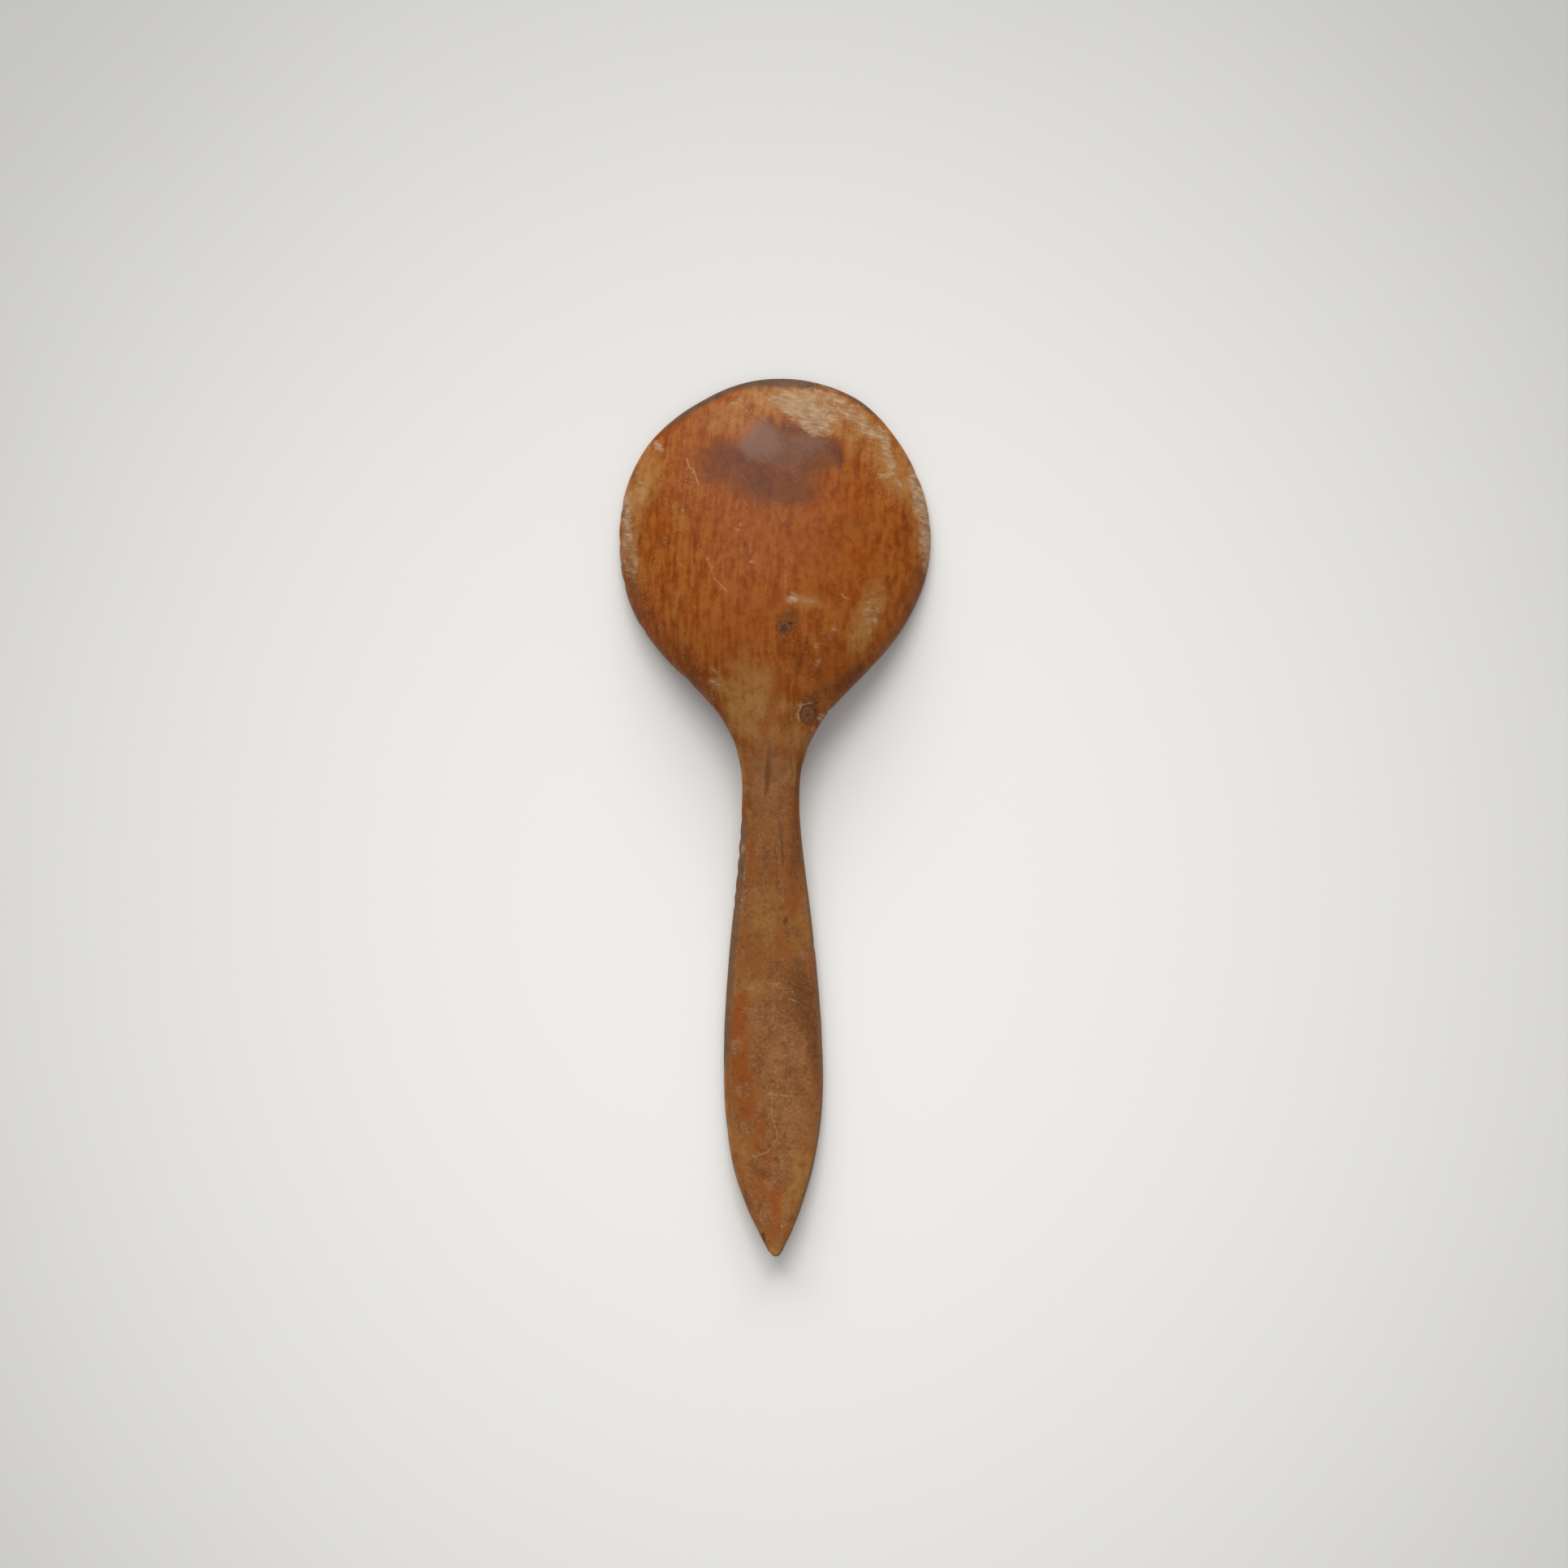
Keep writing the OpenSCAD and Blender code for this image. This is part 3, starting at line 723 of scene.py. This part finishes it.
def paint_edges(mesh):
    """Writes the handle, its darker bevels, painted shade along the edges of the bowl's heel, and the sooty
    edge of the lip.
    """
    x, y, _ = positions(mesh).T
    _, u = place_of(x, y)
    right, up, inset = x / MM, y / MM, read_layer(mesh, "inset") / MM
    handle = ease((12 - up) / 26)
    write_layer(mesh, "handle", handle)

    left_bevel = handle * (u < 0) * ease((up + 116) / 10) * ease((up + 100) / 30)
    left_bevel = left_bevel * (1 - ease((inset - 1.9) / 0.8))
    right_bevel = 0.6 * handle * (u > 0) * (1 - ease((inset - 0.7) / 0.7))
    # Painted shade: a darker band along the bowl's lower edges, where the back curves away from the light
    heel = 0.35 * (up < 92) * (up > 20) * (1 - ease((inset - 1.2) / 3.5))
    write_layer(mesh, "bevels_and_heel_shade", np.clip(left_bevel + right_bevel + heel, 0, 1))

    reach = 2.0 * np.exp(-(((right - 3) / 12) ** 2)) + 0.9 * value_noise(x, y, 3 * MM, 2 * MM, 27)
    lip = ease((up - 126) / 14) * (1 - ease((inset - reach) / 3.2)) * (1 - 0.3 * ease((right - 14) / 3))
    write_layer(mesh, "lip", lip)


def paint_grain(mesh):
    """Writes the place across the grain, in millimetres. The grain bends round each knot."""
    x, y, z = positions(mesh).T
    across = x + 0.35 * z
    for cx, cy, rx, _ in KNOTS:
        away = np.hypot(x - cx, (y - cy) / 2.2)
        push = 1.3 * rx * np.exp(-((away / (2.6 * rx)) ** 2)) * ease(np.abs(x - cx) / rx)
        across = across - np.sign(x - cx) * push
    across = across + 1.2 * MM * value_noise(x, y, 24 * MM, 50 * MM, 31)
    write_layer(mesh, "across", across / MM)


# ---------------------------------------------------------------- materials

class Shader:
    """Builds a material's nodes from short expressions. A number is a constant, a socket becomes a link."""

    def __init__(self, name):
        self.material = bpy.data.materials.new(name)
        self.material.use_nodes = True
        self.tree = self.material.node_tree
        self.tree.nodes.clear()

    def node(self, kind, inputs, **settings):
        made = self.tree.nodes.new("ShaderNode" + kind)
        for key, value in settings.items():
            setattr(made, key, value)
        for key, value in inputs.items():
            if isinstance(value, bpy.types.NodeSocket):
                self.tree.links.new(value, made.inputs[key])
            else:
                made.inputs[key].default_value = value
        return made

    def math(self, operation, a, b=0.0):
        return self.node("Math", {0: a, 1: b}, operation=operation).outputs[0]

    def scaled(self, value, factor, offset):
        inputs = {0: value, 1: factor, 2: offset}
        return self.node("Math", inputs, operation="MULTIPLY_ADD").outputs[0]

    def weighted(self, *parts):
        """The sum of some values, each given after its share."""
        total = None
        for share, value in parts:
            part = self.math("MULTIPLY", value, share)
            total = part if total is None else self.math("ADD", total, part)
        return total

    def vector(self, operation, a, b=(0, 0, 0)):
        return self.node("VectorMath", {0: a, 1: b}, operation=operation).outputs[0]

    def turned(self, vector, angle, scale):
        """A place turned about the upright axis, then stretched."""
        inputs = {"Vector": vector, "Angle": math.radians(angle)}
        spun = self.node("VectorRotate", inputs, rotation_type="Z_AXIS").outputs[0]
        return self.vector("MULTIPLY", spun, scale)

    def attribute(self, name):
        return self.node("Attribute", {}, attribute_name=name).outputs["Fac"]

    def noise(self, vector, scale, detail=2.0, roughness=0.5):
        inputs = {"Vector": vector, "Scale": scale, "Detail": detail, "Roughness": roughness}
        return self.node("TexNoise", inputs).outputs[0]

    def step(self, value, low, high):
        """0 below low, 1 above high, smooth between them."""
        inputs = {"Value": value, "From Min": low, "From Max": high}
        return self.node("MapRange", inputs, interpolation_type="SMOOTHSTEP").outputs[0]

    def blend(self, a, b, share):
        """Colour a, with that share of colour b over it."""
        return self.node("Mix", {0: share, 6: a, 7: b}, data_type="RGBA").outputs[2]

    def ramp(self, value, stops):
        made = self.node("ValToRGB", {0: value})
        elements = made.color_ramp.elements
        while len(elements) < len(stops):
            elements.new(0.5)
        for element, (place, colour) in zip(elements, stops):
            element.position = place
            element.color = colour
        return made.outputs[0]

    def finish(self, colour, roughness, specular, normal=None):
        """The glossy surface that the material ends in."""
        inputs = {"Base Color": colour, "Roughness": roughness}
        if normal is not None:
            inputs["Normal"] = normal
        surface = self.node("BsdfPrincipled", inputs)
        surface.inputs["Specular IOR Level"].default_value = specular
        self.node("OutputMaterial", {0: surface.outputs[0]})
        return self.material


def rgb(r, g, b):
    return (r, g, b, 1.0)


class WoodNoise:
    """The noises that the wood's colour and relief are made from, at a scale of millimetres."""

    def __init__(self, s):
        self.shader = s
        self.place = s.vector("MULTIPLY", s.node("TexCoord", {}).outputs["Object"], (1 / MM, 1 / MM, 1 / MM))
        _, self.along, self.height = s.node("SeparateXYZ", {0: self.place}).outputs
        self.across = s.attribute("across")
        self.fine = self.fibre(0.6, 7, 2.0, 3.0)
        self.hair = self.fibre(0.22, 3.5, 1.0, 11.0)
        self.streak = self.fibre(1.9, 9, 3.0, 7.0)
        self.patch = s.noise(self.place, 0.17, 6.0, 0.62)
        self.grit = s.noise(self.place, 2.2, 3.0, 0.6)
        self.mottle = s.noise(s.vector("MULTIPLY", self.place, (0.42, 0.34, 0.42)), 1.0, 5.0, 0.62)
        self.ragged = s.weighted((0.55, self.patch), (0.45, self.grit))
        self.torn = s.weighted((0.25, self.streak), (0.75, self.patch))
        rubbed = s.noise(self.place, 1.0, 5.0, 0.7)
        self.cloth = s.weighted((0.35, rubbed), (0.25, self.patch), (0.40, self.mottle))
        scraped = s.noise(s.turned(self.place, 105, (0.62, 0.3, 0.4)), 1.0, 6.0, 0.66)
        falling, rising = self.hairs(105, 0.45, 9.0, 0.40, 0.66), self.hairs(78, 0.4, 6.0, 0.42, 0.68)
        self.scrub = s.weighted((0.09, falling), (0.06, rising), (0.86, scraped))

    def fibre(self, wide, long, detail, shift=0.0):
        """Noise drawn out along the grain."""
        s = self.shader
        x = s.math("MULTIPLY", self.across, 1 / wide)
        y = s.math("MULTIPLY", self.along, 1 / long)
        z = s.math("MULTIPLY", self.height, 0.25 / wide)
        joined = s.node("CombineXYZ", {0: x, 1: y, 2: z}).outputs[0]
        return s.noise(s.vector("ADD", joined, (shift, 0, shift)), 1.0, detail)

    def hairs(self, angle, wide, long, low, high):
        """Sparse fine scratches that all lie one way."""
        s = self.shader
        lines = s.turned(self.place, angle, (1 / wide, 1 / long, 1 / long))
        return s.step(s.noise(lines, 1.0, 2.0), low, high)


def oiled_wood(s, n):
    """The orange brown of the clean wood, with its streaks and clouds."""
    contrast = s.scaled(s.step(n.along, 122, 62), 0.03, 0.5)
    streaks = s.math("MULTIPLY", s.math("SUBTRACT", n.streak, 0.4), contrast)
    broad = n.fibre(12, 26, 2.0)
    clouds = s.weighted((0.09, broad), (0.03, n.fine), (0.40, n.mottle), (0.34, n.patch), (0.14, n.grit))
    return s.ramp(s.math("ADD", streaks, clouds), [
        (0.39, rgb(0.150, 0.032, 0.003)),
        (0.45, rgb(0.192, 0.041, 0.003)),
        (0.50, rgb(0.220, 0.049, 0.004)),
        (0.55, rgb(0.243, 0.059, 0.006)),
        (0.62, rgb(0.283, 0.086, 0.012)),
    ])


def wood_paints(s, n):
    """The colour of each painted layer."""
    film = s.ramp(n.cloth, [
        (0.42, rgb(0.165, 0.060, 0.018)),
        (0.50, rgb(0.236, 0.101, 0.036)),
        (0.58, rgb(0.350, 0.175, 0.073)),
    ])
    tan = s.ramp(n.torn, [
        (0.38, rgb(0.265, 0.100, 0.020)),
        (0.50, rgb(0.315, 0.140, 0.034)),
        (0.64, rgb(0.360, 0.180, 0.058)),
    ])
    bare = s.ramp(n.scrub, [
        (0.36, rgb(0.240, 0.142, 0.074)),
        (0.50, rgb(0.335, 0.217, 0.128)),
        (0.66, rgb(0.450, 0.318, 0.200)),
    ])
    rubbed = s.step(s.weighted((0.5, n.streak), (0.5, n.patch)), 0.44, 0.58)
    return {
        "handle": s.blend(film, rgb(0.238, 0.083, 0.020), rubbed),
        "tan": tan,
        "orange": s.ramp(n.mottle, [(0.38, rgb(0.215, 0.048, 0.005)), (0.62, rgb(0.275, 0.068, 0.008))]),
        "film": film,
        "haze": rgb(0.36, 0.18, 0.075),
        "dark": s.ramp(n.cloth, [(0.36, rgb(0.076, 0.026, 0.007)), (0.66, rgb(0.160, 0.054, 0.014))]),
        "stain": s.ramp(n.patch, [(0.36, rgb(0.088, 0.028, 0.013)), (0.64, rgb(0.155, 0.046, 0.015))]),
        # Pale bluish grey: a film on the stain, lightened as a painted sheen of the window light
        "bloom_and_sheen": rgb(0.205, 0.118, 0.088),
        # Dark grey brown of the handle's bevels, and also the painted shade along the bowl's heel
        "bevels_and_heel_shade": s.ramp(n.cloth, [(0.35, rgb(0.105, 0.052, 0.028)), (0.66, rgb(0.210, 0.108, 0.050))]),
        "lip": s.ramp(n.cloth, [(0.36, rgb(0.045, 0.030, 0.023)), (0.64, rgb(0.105, 0.066, 0.046))]),
        "raw": bare,
    }


# Layers in the order that they are laid. For each: the share it covers, how ragged its border is,
# where it starts and where it is full, and the noise that breaks it up.
COATS = {
    "handle": (0.85, 1.0, 0.1, 0.95, "ragged"),
    "tan": (0.85, 1.3, 0.1, 0.95, "torn"),
    "orange": (0.8, 1.3, 0.1, 0.95, "torn"),
    "film": (0.8, 1.4, 0.1, 0.95, "ragged"),
    "haze": (0.28, 1.2, 0.1, 0.95, "ragged"),
    "dark": (0.85, 1.6, 0.1, 0.95, "ragged"),
    "stain": (0.9, 1.0, 0.1, 1.0, "ragged"),
    "bloom_and_sheen": (0.6, 1.0, 0.1, 0.95, "ragged"),
    "bevels_and_heel_shade": (0.9, 1.3, 0.25, 0.75, "ragged"),
    "lip": (0.85, 2.4, 0.1, 0.95, "ragged"),
    "raw": (0.85, 1.5, 0.15, 1.0, "scrub"),
}


def lay_coats(s, n, colour, paints):
    """Lays the painted layers over the wood, and gives the colour and where each layer shows."""
    masks = {}
    for layer, (amount, rough, low, high, noise) in COATS.items():
        border = s.math("MULTIPLY", s.math("SUBTRACT", getattr(n, noise), 0.5), rough)
        shown = s.step(s.math("ADD", border, s.attribute(layer)), low, high)
        masks[layer] = s.math("MULTIPLY", shown, amount)
        colour = s.blend(colour, paints[layer], masks[layer])
        if layer == "dark":
            blotch = s.math("MULTIPLY", s.step(n.along, 88, 48), s.step(n.mottle, 0.51, 0.64))
            colour = s.blend(colour, paints["dark"], s.math("MULTIPLY", blotch, 0.4))
    return colour, masks


def lay_marks(s, n, colour, bare):
    """Lays flecks, scuffs, pores and scratches over everything."""
    flecks = s.step(s.noise(s.vector("MULTIPLY", n.place, (1.9, 1.3, 1.5)), 1.0, 3.0), 0.605, 0.68)
    flecks = s.math("MULTIPLY", flecks, s.attribute("fleck"))
    colour = s.blend(colour, bare, s.math("MULTIPLY", flecks, 0.7))
    scuffs = s.math("MAXIMUM", n.hairs(64, 0.3, 5.0, 0.63, 0.74), n.hairs(-36, 0.3, 7.0, 0.65, 0.76))
    colour = s.blend(colour, rgb(0.37, 0.20, 0.08), s.math("MULTIPLY", scuffs, 0.28))
    colour = s.blend(colour, rgb(0.085, 0.030, 0.010), s.math("MULTIPLY", s.step(n.hair, 0.62, 0.78), 0.10))
    worn = s.step(n.grit, 0.25, 0.6)
    pale, dark = (s.math("MULTIPLY", s.attribute(layer), worn) for layer in ("pale_line", "dark_line"))
    colour = s.blend(colour, rgb(0.42, 0.255, 0.12), s.math("MULTIPLY", pale, 0.65))
    return s.blend(colour, rgb(0.06, 0.024, 0.012), s.math("MULTIPLY", dark, 0.7))


def wood():
    """Old, oiled and handled wood: its grain, and over it every stain, worn place and scratch."""
    s = Shader("aged_wood")
    n = WoodNoise(s)
    paints = wood_paints(s, n)
    colour, masks = lay_coats(s, n, oiled_wood(s, n), paints)
    colour = lay_marks(s, n, colour, paints["raw"])
    gloss = s.math("ADD", s.scaled(n.patch, 0.2, 0.26), s.math("MULTIPLY", masks["raw"], 0.3))
    dull = s.math("ADD", masks["bevels_and_heel_shade"], s.attribute("handle"))
    gloss = s.math("ADD", gloss, s.math("MULTIPLY", dull, 0.1))
    height = s.weighted((0.2, n.fine), (0.1, n.hair), (0.35, n.grit), (-0.3, masks["raw"]))
    bump = s.node("Bump", {"Strength": 0.5, "Distance": 0.12 * MM, "Height": height})
    return s.finish(colour, gloss, 0.09, bump.outputs[0])


def knot_wood(name, knot, heart, ring, bark, dust, bark_from):
    """The end of a knot: dark rings round its heart, with fine cracks that run out from it."""
    s = Shader(name)
    _, _, rx, ry = knot
    place = s.vector("MULTIPLY", s.node("TexCoord", {}).outputs["Object"], (1 / rx, 1 / ry, 0))
    wide = s.vector("MULTIPLY", place, (rx / MM, ry / MM, 1))
    wobble = s.math("MULTIPLY", s.math("SUBTRACT", s.noise(wide, 0.9, 3.0), 0.5), 0.5)
    out = s.node("VectorMath", {0: place}, operation="LENGTH").outputs[1]
    radius = s.math("ADD", out, wobble)
    rings = s.math("SINE", s.math("MULTIPLY", radius, 21.0))
    grit = s.noise(wide, 2.2, 4.0, 0.65)
    rough = s.math("MULTIPLY", s.math("SUBTRACT", grit, 0.5), 3.0)
    colour = s.blend(heart, ring, s.step(s.math("ADD", rings, rough), -1.2, 1.4))
    colour = s.blend(colour, dust, s.step(grit, 0.54, 0.74))
    rim = s.math("ADD", radius, s.math("MULTIPLY", rough, 0.4))
    colour = s.blend(colour, bark, s.step(rim, bark_from, 1.1))
    axes = s.node("SeparateXYZ", {0: place})
    around = s.math("ARCTAN2", axes.outputs[1], axes.outputs[0])
    turn = s.math("ADD", around, s.math("MULTIPLY", wobble, 0.9))
    spokes = s.math("ABSOLUTE", s.math("SINE", s.math("MULTIPLY", turn, 2.5)))
    cracks = s.math("SUBTRACT", 1.0, s.step(s.math("MULTIPLY", spokes, out), 0.03, 0.14))
    cracks = s.math("MULTIPLY", cracks, s.step(out, 0.95, 0.5))
    colour = s.blend(colour, rgb(0.03, 0.014, 0.006), s.math("MULTIPLY", cracks, 0.7))
    height = s.math("SUBTRACT", s.math("ADD", s.math("MULTIPLY", rings, 0.2), grit), cracks)
    bump = s.node("Bump", {"Strength": 0.6, "Distance": 0.1 * MM, "Height": height})
    return s.finish(colour, s.scaled(grit, 0.3, 0.42), 0.15, bump.outputs[0])


# ---------------------------------------------------------------- the pieces

scoop = new_piece("carved_scoop", billet())
for paint in (paint_places, paint_scratches, paint_edges, paint_grain):
    paint(scoop.data)
scoop.data.materials.append(wood())
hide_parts("scoop")

neck_knot = knot_body("neck_knot_end", NECK_KNOT, 0.12 * MM, 0.05 * MM, 41)
neck_knot.data.materials.append(knot_wood(
    "neck_knot_wood",
    NECK_KNOT,
    heart=rgb(0.150, 0.050, 0.017),
    ring=rgb(0.215, 0.080, 0.029),
    bark=rgb(0.115, 0.042, 0.016),
    dust=rgb(0.260, 0.125, 0.056),
    bark_from=0.75,
))
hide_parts("neck_knot")

bowl_knot = knot_body("bowl_knot_end", BOWL_KNOT, 0.05 * MM, 0.02 * MM, 51)
bowl_knot.data.materials.append(knot_wood(
    "bowl_knot_wood",
    BOWL_KNOT,
    heart=rgb(0.045, 0.021, 0.010),
    ring=rgb(0.120, 0.044, 0.012),
    bark=rgb(0.185, 0.056, 0.009),
    dust=rgb(0.170, 0.085, 0.030),
    bark_from=0.35,
))
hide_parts("bowl_knot")

for piece in (scoop, neck_knot, bowl_knot):
    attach(piece, "root")


# ---------------------------------------------------------------- floor, light and camera

VIEW_X, VIEW_Y, VIEW_SPAN, VIEW_HEIGHT = 3.06 * MM, 11.26 * MM, 0.537, 2.0
TABLE_REACH = 4.0
# Middle of the pool of light that is painted into the table's colour
LIGHT_POOL_CENTRE = (VIEW_X, VIEW_Y - 0.07, 0)


def table_top():
    """A plain pale table, a little darker away from the scoop: painted light, its colour darkening away from
    a bright spot.
    """
    mesh = bpy.data.meshes.new("table")
    corners = [(x * TABLE_REACH, y * TABLE_REACH, 0) for x, y in ((-1, -1), (1, -1), (1, 1), (-1, 1))]
    mesh.from_pydata(corners, [], [(0, 1, 2, 3)])
    table = new_piece("table", mesh)
    s = Shader("table_paint")
    place = s.node("TexCoord", {}).outputs["Object"]
    mottle = s.noise(place, 9.0, 3.0)
    off = s.vector("MULTIPLY", s.vector("SUBTRACT", place, LIGHT_POOL_CENTRE), (1.15, 1, 1))
    away = s.node("VectorMath", {0: off}, operation="LENGTH").outputs[1]
    # Painted light falloff: the colour darkens with the square of the distance from the bright spot, up to a
    # limit
    painted_light_falloff = s.math("MULTIPLY", s.math("MULTIPLY", away, away), 2.3)
    painted_light_falloff = s.node("Math", {0: painted_light_falloff, 1: 0.44, 2: 0.2}, operation="SMOOTH_MIN").outputs[0]
    colour = s.blend(rgb(0.842, 0.84, 0.826), rgb(0.01, 0.01, 0.01), painted_light_falloff)
    colour = s.blend(colour, rgb(0.80, 0.80, 0.785), s.math("MULTIPLY", mottle, 0.1))
    table.data.materials.append(s.finish(colour, s.scaled(mottle, 0.1, 0.55), 0.2))


# Each light: azimuth from +Y (clockwise), elevation, distance, width and height in metres, share of the light
LIGHTS = {
    "window_high": (-8, 52, 7.0, 5.0, 2.0, 0.27),
    "window_low": (-6, 27, 7.0, 8.8, 3.2, 0.27),
}
SKY = 0.46


def soft_lights():
    for name, (azimuth, elevation, distance, width, height, share) in LIGHTS.items():
        a, e = math.radians(azimuth), math.radians(elevation)
        lamp = bpy.data.lights.new(name, "AREA")
        lamp.shape = "RECTANGLE"
        lamp.size, lamp.size_y = width, height
        lamp.energy = share * 4 * math.pi * distance**2 / math.sin(e)
        lamp.color = (1.0, 0.99, 0.975)
        light = bpy.data.objects.new(name, lamp)
        bpy.context.scene.collection.objects.link(light)
        towards = Vector((math.sin(a) * math.cos(e), math.cos(a) * math.cos(e), math.sin(e)))
        light.location = towards * distance
        light.rotation_euler = towards.to_track_quat("Z", "Y").to_euler()
        light.visible_camera = False
    world = bpy.data.worlds.new("room")
    world.use_nodes = True
    world.node_tree.nodes["Background"].inputs["Color"].default_value = (1.0, 0.995, 0.98, 1.0)
    world.node_tree.nodes["Background"].inputs["Strength"].default_value = SKY
    bpy.context.scene.world = world


def overhead_camera():
    camera = bpy.data.cameras.new("overhead")
    camera.sensor_width = 36
    camera.lens = camera.sensor_width * VIEW_HEIGHT / VIEW_SPAN
    camera.clip_end = 30
    seat = bpy.data.objects.new("overhead", camera)
    bpy.context.scene.collection.objects.link(seat)
    seat.location = (VIEW_X, VIEW_Y, VIEW_HEIGHT)
    bpy.context.scene.camera = seat


table_top()
soft_lights()
overhead_camera()
bpy.context.scene.view_settings.view_transform = "Standard"
